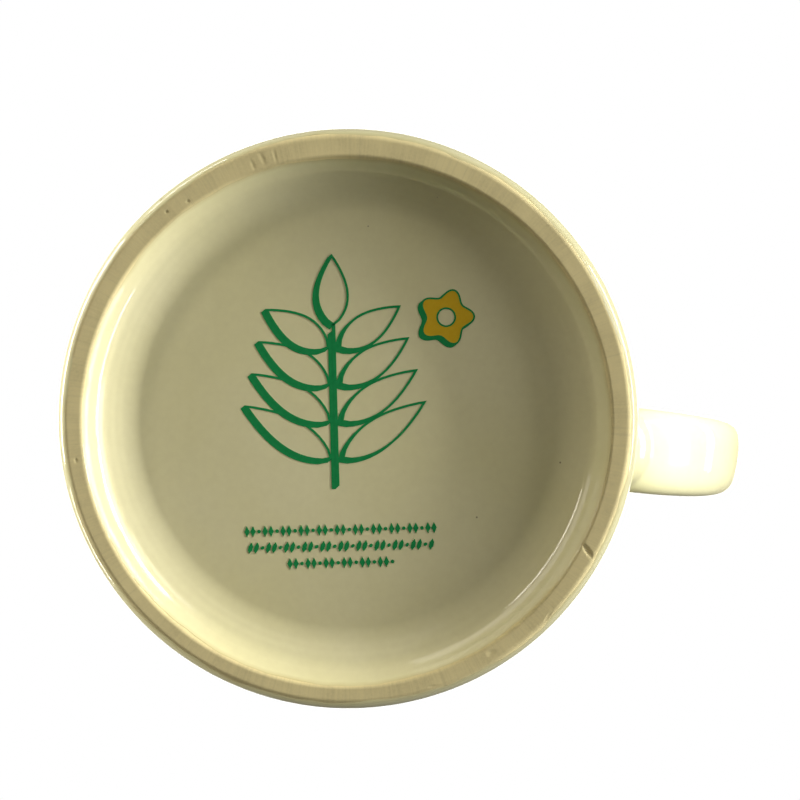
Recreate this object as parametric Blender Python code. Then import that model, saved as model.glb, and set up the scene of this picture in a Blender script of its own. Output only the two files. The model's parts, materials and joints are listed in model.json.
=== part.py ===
"""A ceramic mug: a clay cup and a separate clay handle, the slip that joins them, the glaze coats
that cover them, and the ink printed inside the foot.

Units are metres and +Z is up. The mug stands on its foot ring at z = 0 with the handle towards +X.
The origin is the centre of the rectangle under the whole mug, so the cup's axis stands at CUP_X.
"""

import math

import bmesh
import bpy

MM = 0.001

# Cup, measured over the glaze
BODY_R = 41.0 * MM
HEIGHT = 95.0 * MM
WALL = 4.0 * MM
FLOOR_TOP = 10.8 * MM
INNER_CORNER_R = 8.0 * MM
LOWER_EDGE_W = 2.4 * MM
LOWER_EDGE_H = 5.0 * MM

# Foot ring and the recess inside it
FOOT_IN_R = 36.8 * MM
FOOT_OUT_R = BODY_R - LOWER_EDGE_W
RECESS_R = 29.5 * MM
RECESS_DEPTH = 4.8 * MM
COVE_W = 7.1 * MM
BARE_ANGLE_IN = math.radians(12)
BARE_ANGLE_OUT = math.radians(-76)

# Layers: each touches the next across GAP
GLAZE = 0.5 * MM
INK = 0.2 * MM
GAP = 0.3 * MM
CLAY_INSET = GLAZE + GAP

# Handle, measured over the glaze
HANDLE_REACH = 67.8 * MM
HANDLE_LOW_Z = 22.5 * MM
HANDLE_OUT_Z = 53.0 * MM
HANDLE_TOP_Z = 79.0 * MM
STRAP_THICK = 7.5 * MM
STRAP_W_LOW = 13.8 * MM
STRAP_W_OUT = 12.7 * MM
STRAP_W_TOP = 13.2 * MM
BEND_POWER = 2.2
SECTION_POWER = 3.4
SLIP_DEPTH = 1.1 * MM

# Print inside the foot, in its own axes: right and up as it is read from below
PRINT_TURN = math.radians(8.4)
SPRIG_AT = (-1.7 * MM, 6.8 * MM)
BLOSSOM_AT = (14.3 * MM, 14.1 * MM)
BLOSSOM_R = 4.2 * MM
BLOSSOM_PETALS = 5
STEM_LENGTH = 27.0 * MM
STEM_W = 0.9 * MM
LEAF_PAIRS = 4
LEAF_LENGTH = 15.0 * MM
LEAF_TAPER = 0.09
LEAF_W = 3.8 * MM
LEAF_LEAN = math.radians(57)
ROW_WIDTHS = (28.3 * MM, 27.0 * MM, 16.0 * MM)
ROW_H = 1.5 * MM
ROW_PITCH = 2.35 * MM
FIRST_ROW_AT = (-1.5 * MM, -15.7 * MM)

# Facets
TURNS = 48
ARC_STEPS = 5
STRAP_STEPS = 22
SECTION_STEPS = 18

CUP_X = (BODY_R - HANDLE_REACH) / 2

CLAY = ("bare_clay", (0.62, 0.54, 0.40), 0.85)
GLAZED = ("cream_glaze", (0.86, 0.82, 0.66), 0.12)
SLIP = ("joining_slip", (0.66, 0.58, 0.44), 0.85)
GREEN = ("green_ink", (0.03, 0.30, 0.12), 0.25)
YELLOW = ("yellow_ink", (0.80, 0.58, 0.06), 0.25)


def clear_scene():
    for obj in list(bpy.data.objects):
        bpy.data.objects.remove(obj, do_unlink=True)


def material(name, colour, roughness):
    """A Principled material, made once and then shared."""
    found = bpy.data.materials.get(name)
    if found:
        return found
    made = bpy.data.materials.new(name)
    made.use_nodes = True
    shader = made.node_tree.nodes["Principled BSDF"]
    shader.inputs["Base Color"].default_value = (*colour, 1)
    shader.inputs["Roughness"].default_value = roughness
    shader.inputs["Metallic"].default_value = 0
    made.diffuse_color = (*colour, 1)
    return made


def finish(name, mesh, look, x=0.0, sharp=math.radians(35)):
    """Closes a bmesh into a named, smooth-shaded object standing at x."""
    bmesh.ops.recalc_face_normals(mesh, faces=mesh.faces)
    data = bpy.data.meshes.new(name)
    mesh.to_mesh(data)
    mesh.free()
    data.shade_smooth()
    data.set_sharp_from_angle(angle=sharp)
    data.materials.append(material(*look))
    obj = bpy.data.objects.new(name, data)
    obj.location.x = x
    bpy.context.scene.collection.objects.link(obj)
    return obj


def arc(centre, radii, start, end, steps=ARC_STEPS):
    """Points on an ellipse from one angle to the other, both ends included."""
    angles = [start + (end - start) * i / steps for i in range(steps + 1)]
    return [(centre[0] + radii[0] * math.cos(a), centre[1] + radii[1] * math.sin(a)) for a in angles]


def offset(points, distance):
    """The line moved sideways, to the right of its direction. An end on the axis stays there."""
    moved = []
    for i, (r, z) in enumerate(points):
        before = points[max(i - 1, 0)]
        after = points[min(i + 1, len(points) - 1)]
        dr, dz = after[0] - before[0], after[1] - before[1]
        if r == 0:
            dz = 0
        length = math.hypot(dr, dz)
        moved.append((r + distance * dz / length, z - distance * dr / length))
    return moved


def recess_line():
    """The glazed recess, from the axis out to where the foot ring is bare."""
    cove = arc((RECESS_R, 0), (COVE_W, RECESS_DEPTH), math.pi / 2, BARE_ANGLE_IN)
    return [(0, RECESS_DEPTH)] + cove


def outer_line():
    """The glazed outside, from the bare foot ring up to the crest of the rim."""
    edge_centre = (FOOT_OUT_R, LOWER_EDGE_H)
    edge = arc(edge_centre, (LOWER_EDGE_W, LOWER_EDGE_H), BARE_ANGLE_OUT, 0)
    rim_r = WALL / 2
    rim = arc((BODY_R - rim_r, HEIGHT - rim_r), (rim_r, rim_r), 0, math.pi / 2)
    return edge + rim


def inner_line():
    """The glazed inside, from the crest of the rim down to the middle of the floor."""
    rim_r = WALL / 2
    inner_r = BODY_R - WALL
    rim = arc((BODY_R - rim_r, HEIGHT - rim_r), (rim_r, rim_r), math.pi / 2, math.pi)
    corner_centre = (inner_r - INNER_CORNER_R, FLOOR_TOP + INNER_CORNER_R)
    corner = arc(corner_centre, (INNER_CORNER_R, INNER_CORNER_R), 0, -math.pi / 2)
    return rim + corner + [(0, FLOOR_TOP)]


def foot_line():
    """The bare foot ring, from the recess glaze round to the outer glaze."""
    inside = arc((RECESS_R, 0), (COVE_W, RECESS_DEPTH), BARE_ANGLE_IN, math.radians(4), 2)
    outside = arc((FOOT_OUT_R, LOWER_EDGE_H), (LOWER_EDGE_W, LOWER_EDGE_H), -math.pi / 2, BARE_ANGLE_OUT, 2)
    return inside + [(FOOT_IN_R, 0)] + outside


def turned(name, outline, look):
    """A solid of revolution about the cup's axis. The outline is closed, or ends on the axis twice."""
    mesh = bmesh.new()
    verts = [mesh.verts.new((r, 0, z)) for r, z in outline]
    edges = [mesh.edges.new(pair) for pair in zip(verts, verts[1:])]
    if outline[0][0] > 0:
        edges.append(mesh.edges.new((verts[-1], verts[0])))
    bmesh.ops.spin(
        mesh, geom=verts + edges, axis=(0, 0, 1), cent=(0, 0, 0), steps=TURNS, angle=math.tau, use_merge=True
    )
    bmesh.ops.remove_doubles(mesh, verts=mesh.verts, dist=0.001 * MM)
    return finish(name, mesh, look, CUP_X)


def coat(name, line, look, first=0, last=None):
    """A glaze coat: the band between a surface line and the same line one coat deeper."""
    deeper = offset(line, -GLAZE)
    return turned(name, line[first:last] + deeper[first:last][::-1], look)


def signed_power(value, power):
    return math.copysign(abs(value) ** power, value)


def strap_centre(turn):
    """The strap's centreline at an angle from -90 degrees, low on the wall, to 90 degrees, high on it."""
    reach = HANDLE_REACH - STRAP_THICK / 2 - BODY_R
    rise = HANDLE_TOP_Z - HANDLE_OUT_Z if turn > 0 else HANDLE_OUT_Z - HANDLE_LOW_Z
    x = BODY_R + reach * signed_power(math.cos(turn), 2 / BEND_POWER)
    z = HANDLE_OUT_Z + rise * signed_power(math.sin(turn), 2 / BEND_POWER)
    return x, z


def strap_width(turn):
    end = STRAP_W_TOP if turn > 0 else STRAP_W_LOW
    return STRAP_W_OUT + (end - STRAP_W_OUT) * math.sin(turn) ** 2


def strap_rings(inset, wall_r):
    """Rings of points round the strap, the glazed strap's own size less inset, ending on a cylinder."""
    rings = []
    for step in range(STRAP_STEPS + 1):
        share = step / STRAP_STEPS
        turn = math.pi * (share - 0.5)
        x, z = strap_centre(turn)
        ahead = strap_centre(min(turn + 0.01, math.pi / 2))
        behind = strap_centre(max(turn - 0.01, -math.pi / 2))
        dx, dz = ahead[0] - behind[0], ahead[1] - behind[1]
        if step in (0, STRAP_STEPS):
            dx, dz = (1, 0) if step == 0 else (-1, 0)
        length = math.hypot(dx, dz)
        out = (dz / length, -dx / length)
        half_w = strap_width(turn) / 2 - inset
        half_t = STRAP_THICK / 2 - inset
        ring = []
        for k in range(SECTION_STEPS):
            a = math.tau * k / SECTION_STEPS
            across = half_w * signed_power(math.sin(a), 2 / SECTION_POWER)
            through = half_t * signed_power(math.cos(a), 2 / SECTION_POWER)
            px = x + through * out[0]
            if step in (0, STRAP_STEPS):
                px = math.sqrt(wall_r**2 - across**2)
            ring.append((px, across, z + through * out[1]))
        rings.append(ring)
    return rings


def tube_faces(mesh, rings):
    """Adds the rings' points and the faces between neighbouring rings, and returns the points."""
    loops = [[mesh.verts.new(p) for p in ring] for ring in rings]
    for lower, upper in zip(loops, loops[1:]):
        for k in range(len(lower)):
            n = (k + 1) % len(lower)
            mesh.faces.new((lower[k], lower[n], upper[n], upper[k]))
    return loops


def curved_cap(mesh, loop):
    """Closes a section with upright strips, so that the end follows the wall's curve across the strap."""
    half = SECTION_STEPS // 2
    columns = [(loop[k], loop[half - k]) for k in range(-(half // 2), half // 2 + 1)]
    for (top, bottom), (next_top, next_bottom) in zip(columns, columns[1:]):
        mesh.faces.new((top, next_top, next_bottom, bottom))


def handle_core():
    """The cast clay strap, which stops short of the wall by the depth of the slip."""
    mesh = bmesh.new()
    end_r = BODY_R - CLAY_INSET + GAP + SLIP_DEPTH + GAP
    loops = tube_faces(mesh, strap_rings(CLAY_INSET, end_r))
    curved_cap(mesh, loops[0])
    curved_cap(mesh, loops[-1])
    return finish("handle_core", mesh, CLAY, CUP_X)


def handle_glaze():
    """The glaze round the strap: a bent tube with open ends against the glazed wall."""
    mesh = bmesh.new()
    end_r = BODY_R + GAP
    outer = tube_faces(mesh, strap_rings(0, end_r))
    inner = tube_faces(mesh, strap_rings(GLAZE, end_r))
    for outside, inside in ((outer[0], inner[0]), (outer[-1], inner[-1])):
        for k in range(SECTION_STEPS):
            n = (k + 1) % SECTION_STEPS
            mesh.faces.new((outside[k], outside[n], inside[n], inside[k]))
    return finish("handle_glaze", mesh, GLAZED, CUP_X)


def wall_pad(name, z, width, margin, near_r, far_r, look):
    """A rounded pad on the wall where the strap meets it, with both ends curved like the wall."""
    half_w = width / 2 - CLAY_INSET + margin
    half_t = STRAP_THICK / 2 - CLAY_INSET + margin
    rings = []
    for end_r in (near_r, far_r):
        ring = []
        for k in range(SECTION_STEPS):
            a = math.tau * k / SECTION_STEPS
            across = half_w * signed_power(math.sin(a), 2 / SECTION_POWER)
            through = half_t * signed_power(math.cos(a), 2 / SECTION_POWER)
            ring.append((math.sqrt(end_r**2 - across**2), across, z + through))
        rings.append(ring)
    mesh = bmesh.new()
    for loop in tube_faces(mesh, rings):
        curved_cap(mesh, loop)
    return finish(name, mesh, look, CUP_X)


JOINTS = (("lower", HANDLE_LOW_Z, STRAP_W_LOW), ("upper", HANDLE_TOP_Z, STRAP_W_TOP))


def slip_joints():
    """The two slip pads that bond the handle's clay to the cup's clay."""
    near_r = BODY_R - CLAY_INSET + GAP
    for side, z, width in JOINTS:
        wall_pad(f"{side}_slip_joint", z, width, 0, near_r, near_r + SLIP_DEPTH, SLIP)


def outer_glaze():
    """The outside coat, with a window at each slip joint, where clay was joined to clay."""
    body = coat("outer_glaze", outer_line(), GLAZED)
    for side, z, width in JOINTS:
        inside_r, outside_r = BODY_R - 4 * GLAZE, BODY_R + 4 * GLAZE
        cutter = wall_pad(f"{side}_window_cutter", z, width, GAP, inside_r, outside_r, GLAZED)
        cutter.hide_render = True
        cutter.display_type = "WIRE"
        window = body.modifiers.new(f"{side} window", "BOOLEAN")
        window.operation = "DIFFERENCE"
        window.solver = "EXACT"
        window.object = cutter


def liner_glaze():
    """The inside coat, which meets the outside coat at the crest of the rim."""
    line = inner_line()
    deeper = offset(line, -GLAZE)
    start = (line[0][0] - GAP, line[0][1])
    turned("liner_glaze", [start] + line[1:] + deeper[::-1][:-1] + [(start[0], deeper[0][1])], GLAZED)


def base_glaze():
    """The coat inside the foot recess."""
    line = recess_line()
    turned("base_glaze", line + offset(line, -GLAZE)[::-1], GLAZED)


def cup_body():
    """The cup's clay in one piece: wall, floor and the foot ring, which is the only part left bare."""
    recess = offset(recess_line(), -CLAY_INSET)
    outside = offset(outer_line(), -CLAY_INSET)
    inside = offset(inner_line(), -CLAY_INSET)
    foot = foot_line()[1:-1]
    turned("cup_body", recess + foot + outside + inside[1:], CLAY)


def print_point(right, up):
    """A point of the print as x and y: turned, and mirrored because it is read from below."""
    c, s = math.cos(PRINT_TURN), math.sin(PRINT_TURN)
    return right * c - up * s, -right * s - up * c


def inked(name, outline, look):
    """A flat patch of ink under the recess glaze's face."""
    low = RECESS_DEPTH - GAP - INK
    mesh = bmesh.new()
    bottom = mesh.faces.new([mesh.verts.new((*print_point(right, up), low)) for right, up in outline])
    raised = bmesh.ops.extrude_face_region(mesh, geom=[bottom])
    top = [v for v in raised["geom"] if isinstance(v, bmesh.types.BMVert)]
    bmesh.ops.translate(mesh, verts=top, vec=(0, 0, INK))
    bmesh.ops.triangulate(mesh, faces=mesh.faces, ngon_method="EAR_CLIP")
    return finish(name, mesh, look, CUP_X, sharp=math.radians(60))


def leaf(root, heading, length, steps=6):
    """One side and then the other of a pointed leaf, from its root round to its root again."""
    line = []
    for side in (-1, 1):
        for i in range(steps + 1):
            share = i / steps if side < 0 else 1 - i / steps
            half = side * max(LEAF_W / 2 * math.sin(math.pi * share**0.8), STEM_W / 4)
            along = length * share
            line.append(
                (
                    root[0] + along * math.sin(heading) - half * math.cos(heading),
                    root[1] + along * math.cos(heading) + half * math.sin(heading),
                )
            )
    return line


def sprig():
    """A stem with leaves on both sides and one at its tip, as one outline."""
    foot_up = SPRIG_AT[1] - STEM_LENGTH * 0.6
    spacing = (STEM_LENGTH - LEAF_W) / LEAF_PAIRS
    heights = [foot_up + LEAF_W + spacing * i for i in range(LEAF_PAIRS)]
    left, right = SPRIG_AT[0] - STEM_W / 2, SPRIG_AT[0] + STEM_W / 2
    pairs = [(up, LEAF_LENGTH * (1 - LEAF_TAPER * i)) for i, up in enumerate(heights)]
    outline = [(right, foot_up)]
    for up, length in pairs:
        outline += leaf((right, up), LEAF_LEAN, length)
    outline += leaf((SPRIG_AT[0], heights[-1] + spacing / 2), 0, pairs[-1][1])
    for up, length in reversed(pairs):
        outline += leaf((left, up), -LEAF_LEAN, length)
    return outline + [(left, foot_up)]


def blossom():
    """A round flower with soft petals."""
    steps = BLOSSOM_PETALS * 8
    outline = []
    for i in range(steps):
        a = math.tau * i / steps
        r = BLOSSOM_R * (0.86 + 0.14 * math.cos(BLOSSOM_PETALS * a))
        outline.append((BLOSSOM_AT[0] + r * math.cos(a), BLOSSOM_AT[1] + r * math.sin(a)))
    return outline


def row(width, at):
    """A bar with round ends."""
    reach = (width - ROW_H) / 2
    round_r = (ROW_H / 2, ROW_H / 2)
    right = arc((at[0] + reach, at[1]), round_r, -math.pi / 2, math.pi / 2, 4)
    left = arc((at[0] - reach, at[1]), round_r, math.pi / 2, 3 * math.pi / 2, 4)
    return right + left


def prints():
    """The ink: a green sprig, a yellow blossom beside it, and three green rows below."""
    inked("print_sprig_green", sprig(), GREEN)
    inked("print_blossom_yellow", blossom(), YELLOW)
    for number, width in enumerate(ROW_WIDTHS):
        at = (FIRST_ROW_AT[0], FIRST_ROW_AT[1] - ROW_PITCH * number)
        inked(f"print_row_{number + 1}", row(width, at), GREEN)


clear_scene()
cup_body()
outer_glaze()
liner_glaze()
base_glaze()
handle_core()
handle_glaze()
slip_joints()
prints()
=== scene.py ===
"""The looks of a glazed ceramic mug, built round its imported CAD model.

Units are metres and +Z is up. The cup is turned about an upright axis at x = AXIS_X. Its whole surface is
one line beside that axis, from the middle of the foot recess, out over the foot ring, up the outside, over
the rim and down to the middle of the floor. Every skin is a stretch of that line, turned.
"""

import json
import math

import bmesh
import bpy
import numpy as np
from mathutils import Matrix, Vector

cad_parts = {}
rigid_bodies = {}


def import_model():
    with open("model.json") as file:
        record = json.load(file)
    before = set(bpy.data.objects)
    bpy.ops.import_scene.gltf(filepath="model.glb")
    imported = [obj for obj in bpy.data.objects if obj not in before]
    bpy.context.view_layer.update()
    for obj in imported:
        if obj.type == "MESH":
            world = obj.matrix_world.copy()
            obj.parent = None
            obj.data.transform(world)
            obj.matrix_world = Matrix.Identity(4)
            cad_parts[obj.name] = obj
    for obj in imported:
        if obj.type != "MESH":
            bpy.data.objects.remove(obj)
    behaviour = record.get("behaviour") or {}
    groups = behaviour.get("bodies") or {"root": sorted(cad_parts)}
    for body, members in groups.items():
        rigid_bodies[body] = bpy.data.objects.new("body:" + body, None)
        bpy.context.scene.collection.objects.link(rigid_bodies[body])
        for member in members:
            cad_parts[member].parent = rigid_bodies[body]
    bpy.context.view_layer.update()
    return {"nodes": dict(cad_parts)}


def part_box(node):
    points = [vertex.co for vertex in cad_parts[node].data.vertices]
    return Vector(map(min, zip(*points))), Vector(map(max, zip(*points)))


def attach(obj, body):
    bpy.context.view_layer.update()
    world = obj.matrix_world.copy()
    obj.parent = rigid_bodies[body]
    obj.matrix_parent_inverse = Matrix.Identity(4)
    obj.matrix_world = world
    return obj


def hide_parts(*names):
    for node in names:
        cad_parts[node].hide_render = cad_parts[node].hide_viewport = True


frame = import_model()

MM = 0.001
PLAIN_WHITE = (1.0, 1.0, 1.0)

# The cup, from the frame
CUP_LOW, CUP_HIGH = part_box("outer_glaze")
AXIS_X = (CUP_LOW.x + CUP_HIGH.x) / 2
BODY_R = (CUP_HIGH.x - CUP_LOW.x) / 2
HEIGHT = CUP_HIGH.z
GLAZE = 0.5 * MM
RECESS_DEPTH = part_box("base_glaze")[1].z - GLAZE
FLOOR_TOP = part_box("liner_glaze")[0].z + GLAZE
WALL = 4.0 * MM
INNER_CORNER_R = 8.0 * MM

# The foot ring and what lies beside it
LOWER_EDGE_W = 2.4 * MM
LOWER_EDGE_H = 5.0 * MM
FOOT_OUT_R = BODY_R - LOWER_EDGE_W
RECESS_R = 29.5 * MM
COVE_BEND_R = 31.58 * MM
CREASE = (34.3 * MM, 3.1 * MM)
CREASE_SOFT = 0.3 * MM
COVE_WALL_BEND = (35.5 * MM, 2.0 * MM)
COVE_END = (36.50 * MM, 0.34 * MM)
FOOT_IN_CORNER = (36.66 * MM, 0.09 * MM)
FOOT_IN_ROUND = 0.3 * MM
RECESS_SHIFT = 0.33 * MM
RECESS_SHIFT_BEARING = 262
BARE_OUT = math.radians(-76)

# Glaze: how far it stands proud of the clay at its edges, and how far the clay lies under it
GLAZE_LIP = 0.024 * MM
LIP_W = 0.7 * MM
CLAY_UNDER = 0.35 * MM
SINK_FROM = 0.35 * MM
SINK_W = 0.8 * MM

# The handle, from the frame
STRAP_LOW, STRAP_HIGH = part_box("handle_glaze")
STRAP_THICK = 7.5 * MM
HANDLE_REACH = STRAP_HIGH.x - AXIS_X
HANDLE_LOW_Z = STRAP_LOW.z + STRAP_THICK / 2
HANDLE_TOP_Z = STRAP_HIGH.z - STRAP_THICK / 2
HANDLE_OUT_Z = 53.0 * MM
STRAP_W_LOW = STRAP_HIGH.y - STRAP_LOW.y
STRAP_W_OUT = 12.7 * MM
STRAP_W_TOP = 13.2 * MM
BEND_POWER = 2.2
SECTION_POWER = 3.0
ROOT_BLEND = 5.0 * MM
SIDE_FILLET = 0.9 * MM
FACE_FILLET = 1.6 * MM
TONGUE_REACH = (0.8, 3.7)
TONGUE_DEPTH = (0.8, 1.8)
TONGUE_POWER = 0.6
ROOT_SWELL = 2.0 * MM
ROOT_SWELL_REACH = 12.0 * MM
STRAP_ROUND = 96
STRAP_STEPS = 150
STRAP_SUNK = 0.06 * MM

# The print, in its own axes: right and up as it is read from below
PRINT_TURN = math.radians(8.4)
INK_PROUD = 0.05 * MM
INK_SUNK = 0.05 * MM

# The camera's place: angles and offsets as seen from below, looking at the foot
VIEW_TURN = math.radians(6.93)
VIEW_DISTANCE = 150.0 * MM
VIEW_OFFSET = (10.146 * MM, 5.044 * MM)
VIEW_TARGET = (7.477 * MM, 2.797 * MM)
VIEW_LENS = 49.086

FINE = 720
FINEST = 1440
FAR_FROM_EDGE = 9.0


# ---------------------------------------------------------------- the surface line


def straight(start, end, step):
    count = max(2, int(round(math.dist(start, end) / step)) + 1)
    return np.linspace(start, end, count)


def ellipse(centre, radii, start, end, count=60):
    angles = np.linspace(start, end, count)
    return np.stack([centre[0] + radii[0] * np.cos(angles), centre[1] + radii[1] * np.sin(angles)], -1)


def unit(to, start):
    """The direction from a start to a point."""
    gap = np.array(to) - np.array(start)
    return gap / np.linalg.norm(gap)


def curve(start, bend, end, count=30):
    """A quadratic curve that leaves start towards bend and reaches end from it."""
    t = np.linspace(0, 1, count)[:, None]
    return (1 - t) ** 2 * np.array(start) + 2 * t * (1 - t) * np.array(bend) + t**2 * np.array(end)


def cove_line():
    """From the flat recess down to the foot: a shallow curve, a soft crease and a steep wall."""
    bend = (COVE_BEND_R, RECESS_DEPTH)
    above = np.array(CREASE) + CREASE_SOFT * unit(bend, CREASE)
    below = np.array(CREASE) + CREASE_SOFT * unit(COVE_WALL_BEND, CREASE)
    shallow = curve((RECESS_R, RECESS_DEPTH), bend, above)
    crease = curve(above, CREASE, below, 12)
    steep = curve(below, COVE_WALL_BEND, COVE_END)
    return np.concatenate([shallow, crease[1:], steep[1:]])


def surface_stretches():
    """The stretches of the surface line in order, each as (r, z) points."""
    cove = cove_line()
    foot_start = FOOT_IN_CORNER + FOOT_IN_ROUND * unit((FOOT_OUT_R, 0), FOOT_IN_CORNER)
    edge = ellipse((FOOT_OUT_R, LOWER_EDGE_H), (LOWER_EDGE_W, LOWER_EDGE_H), BARE_OUT, 0)
    rim_r = WALL / 2
    rim_centre = (BODY_R - rim_r, HEIGHT - rim_r)
    bore_r = BODY_R - WALL
    corner_centre = (bore_r - INNER_CORNER_R, FLOOR_TOP + INNER_CORNER_R)
    return {
        "recess": straight((0, RECESS_DEPTH), (RECESS_R, RECESS_DEPTH), 0.5 * MM),
        "cove": cove,
        "foot_in": curve(cove[-1], FOOT_IN_CORNER, foot_start),
        "foot": straight(foot_start, (FOOT_OUT_R, 0), 0.05 * MM),
        "foot_out": curve((FOOT_OUT_R, 0), (FOOT_OUT_R + 0.3 * MM, 0), edge[0], 12),
        "edge": edge,
        "wall": straight(edge[-1], (BODY_R, HEIGHT - rim_r), 0.5 * MM),
        "rim": ellipse(rim_centre, (rim_r, rim_r), 0, math.pi, 80),
        "bore": straight((bore_r, HEIGHT - rim_r), (bore_r, corner_centre[1]), 0.5 * MM),
        "corner": ellipse(corner_centre, (INNER_CORNER_R, INNER_CORNER_R), 0, -math.pi / 2),
        "floor": straight((corner_centre[0], FLOOR_TOP), (0, FLOOR_TOP), 0.5 * MM),
    }


class SurfaceLine:
    """The line by its length: points, directions, and where each named stretch begins and ends."""

    def __init__(self):
        points, self.span, length = [], {}, 0.0
        for name, stretch in surface_stretches().items():
            steps = np.linalg.norm(np.diff(stretch, axis=0), axis=1)
            self.span[name] = (length, length + steps.sum())
            length += steps.sum()
            points.append(stretch if not points else stretch[1:])
        self.points = np.concatenate(points)
        steps = np.linalg.norm(np.diff(self.points, axis=0), axis=1)
        self.length = np.concatenate([[0], np.cumsum(steps)])
        self.total = self.length[-1]

    def at(self, s, lift=0.0):
        """The radius and height at length s, lifted off the surface."""
        reach = 0.06 * MM
        s = np.clip(s, 0, self.total)
        r = np.interp(s, self.length, self.points[:, 0])
        z = np.interp(s, self.length, self.points[:, 1])
        ahead, behind = np.clip(s + reach, 0, self.total), np.clip(s - reach, 0, self.total)
        radii, heights = self.points[:, 0], self.points[:, 1]
        dr = np.interp(ahead, self.length, radii) - np.interp(behind, self.length, radii)
        dz = np.interp(ahead, self.length, heights) - np.interp(behind, self.length, heights)
        size = np.hypot(dr, dz)
        return r + lift * dz / size, z - lift * dr / size

    def stations(self, **counts):
        """Lengths along the named stretches, as many on each as asked."""
        lengths = [np.linspace(*self.span[name], count, endpoint=False) for name, count in counts.items()]
        last = self.span[list(counts)[-1]][1]
        return np.concatenate(lengths + [[last]])


LINE = SurfaceLine()
BARE_FROM = LINE.span["foot_in"][0]
BARE_TO = LINE.span["foot_out"][1]


# ---------------------------------------------------------------- meshes


def clear_default():
    for obj in list(bpy.data.objects):
        if obj.type in ("LIGHT", "CAMERA"):
            bpy.data.objects.remove(obj, do_unlink=True)


def piece(name, verts, faces, look, nodes=(), smooth=True):
    """A mesh object that rides on the mug and stands for the CAD nodes given."""
    data = bpy.data.meshes.new(name)
    data.from_pydata([tuple(v) for v in verts], [], faces)
    data.validate()
    mesh = bmesh.new()
    mesh.from_mesh(data)
    bmesh.ops.recalc_face_normals(mesh, faces=mesh.faces)
    mesh.to_mesh(data)
    mesh.free()
    if smooth:
        data.shade_smooth()
    data.materials.append(look)
    obj = bpy.data.objects.new(name, data)
    bpy.context.scene.collection.objects.link(obj)
    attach(obj, "root")
    if nodes:
        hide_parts(*nodes)
    return obj


def grid_faces(rows, columns, closed):
    """Quads between neighbouring rows of a grid that wraps along its columns, and across its rows if closed."""
    faces = []
    for i in range(rows if closed else rows - 1):
        here, there = i * columns, (i + 1) % rows * columns
        for j in range(columns):
            n = (j + 1) % columns
            faces.append((here + j, here + n, there + n, there + j))
    return faces


def turned(r, z, turns):
    """Points and faces of rows of (r, z) turned about the cup's axis. A row at r = 0 becomes one point."""
    angles = np.arange(turns) * math.tau / turns
    x = AXIS_X + r * np.cos(angles)
    y = r * np.sin(angles)
    poles = [i for i in range(len(r)) if np.all(r[i] < 1e-7)]
    kept = [i for i in range(len(r)) if i not in poles]
    verts = np.stack([x[kept], y[kept], z[kept]], -1).reshape(-1, 3).tolist()
    faces = grid_faces(len(kept), turns, closed=not poles)
    for pole in poles:
        verts.append((AXIS_X, 0.0, float(z[pole].mean())))
        row = 0 if pole == 0 else len(kept) - 1
        for j in range(turns):
            n = (j + 1) % turns
            faces.append((row * turns + j, row * turns + n, len(verts) - 1))
    return verts, faces


def wave(angles, amount, parts):
    """A wavering amount round the cup, from (times round, phase, share) parts."""
    return amount * sum(share * np.sin(times * angles + phase) for times, phase, share in parts)


def from_bearing(angles, bearing):
    """Degrees from a bearing to angles round the cup. A bearing runs from the view's right to its up."""
    return (-np.degrees(angles + VIEW_TURN) - bearing + 180) % 360 - 180


def shifted(r, angles):
    """Radii round the foot's inner corner, moved because the recess was trimmed a little off centre."""
    inner = np.clip((r - 31 * MM) / (3 * MM), 0, 1)
    outer = np.clip((38.5 * MM - r) / (1.6 * MM), 0, 1)
    return r + RECESS_SHIFT * np.cos(np.radians(from_bearing(angles, RECESS_SHIFT_BEARING))) * inner * outer


def bump_at(angles, bearing, reach):
    """1 at a bearing in degrees, falling smoothly to 0 at reach degrees to either side."""
    return np.clip(1 - (from_bearing(angles, bearing) / reach) ** 2, 0, 1) ** 2


def mark_edge_distance(obj, from_edge, hidden_rows):
    """Stores on each point how many millimetres it lies from where the glaze stops."""
    shown = np.broadcast_to(from_edge / MM, (len(from_edge), FINE)).ravel()
    hidden = np.full(hidden_rows * FINE + 2, FAR_FROM_EDGE)
    made = obj.data.attributes.new("from_edge", "FLOAT", "POINT")
    made.data.foreach_set("value", np.concatenate([shown, hidden]).astype(np.float32))


def lip(distance):
    """The rounded edge of the glaze: its height above the clay, by distance from where it stops."""
    share = np.clip(distance / LIP_W, 0, 1)
    return GLAZE_LIP * (np.sqrt(1 - (1 - share) ** 2) * 1.25 - 0.25)


def thickness(distance):
    """How thick the glaze is, by distance from where it stops: a wedge at first, then even."""
    return 0.02 * MM + (CLAY_UNDER - 0.02 * MM) * np.clip(distance / (SINK_FROM + SINK_W), 0, 1)


def settle(distance):
    """How the lip's extra height fades out further in, so that the glaze keeps the CAD outline."""
    return np.clip(1 - (distance - LIP_W) / (2.5 * MM), 0, 1) ** 2


# ---------------------------------------------------------------- the cup's skins

# How the glaze's edge wavers, and how the clay is grazed: (times round the cup, phase, share)
OUTSIDE_WAVER = [(3, 0.4, 0.9), (7, 2.1, 0.8), (17, 1.0, 0.6), (31, 0.2, 0.35), (57, 2.9, 0.25)]
RECESS_WAVER = [(2, 1.4, 0.8), (5, 0.3, 0.8), (13, 2.0, 0.6), (29, 0.9, 0.35), (61, 1.9, 0.2)]
GRAZE = [(173, 0.3, 0.5), (251, 1.9, 0.5), (331, 4.0, 0.4), (97, 2.2, 0.4)]
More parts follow.
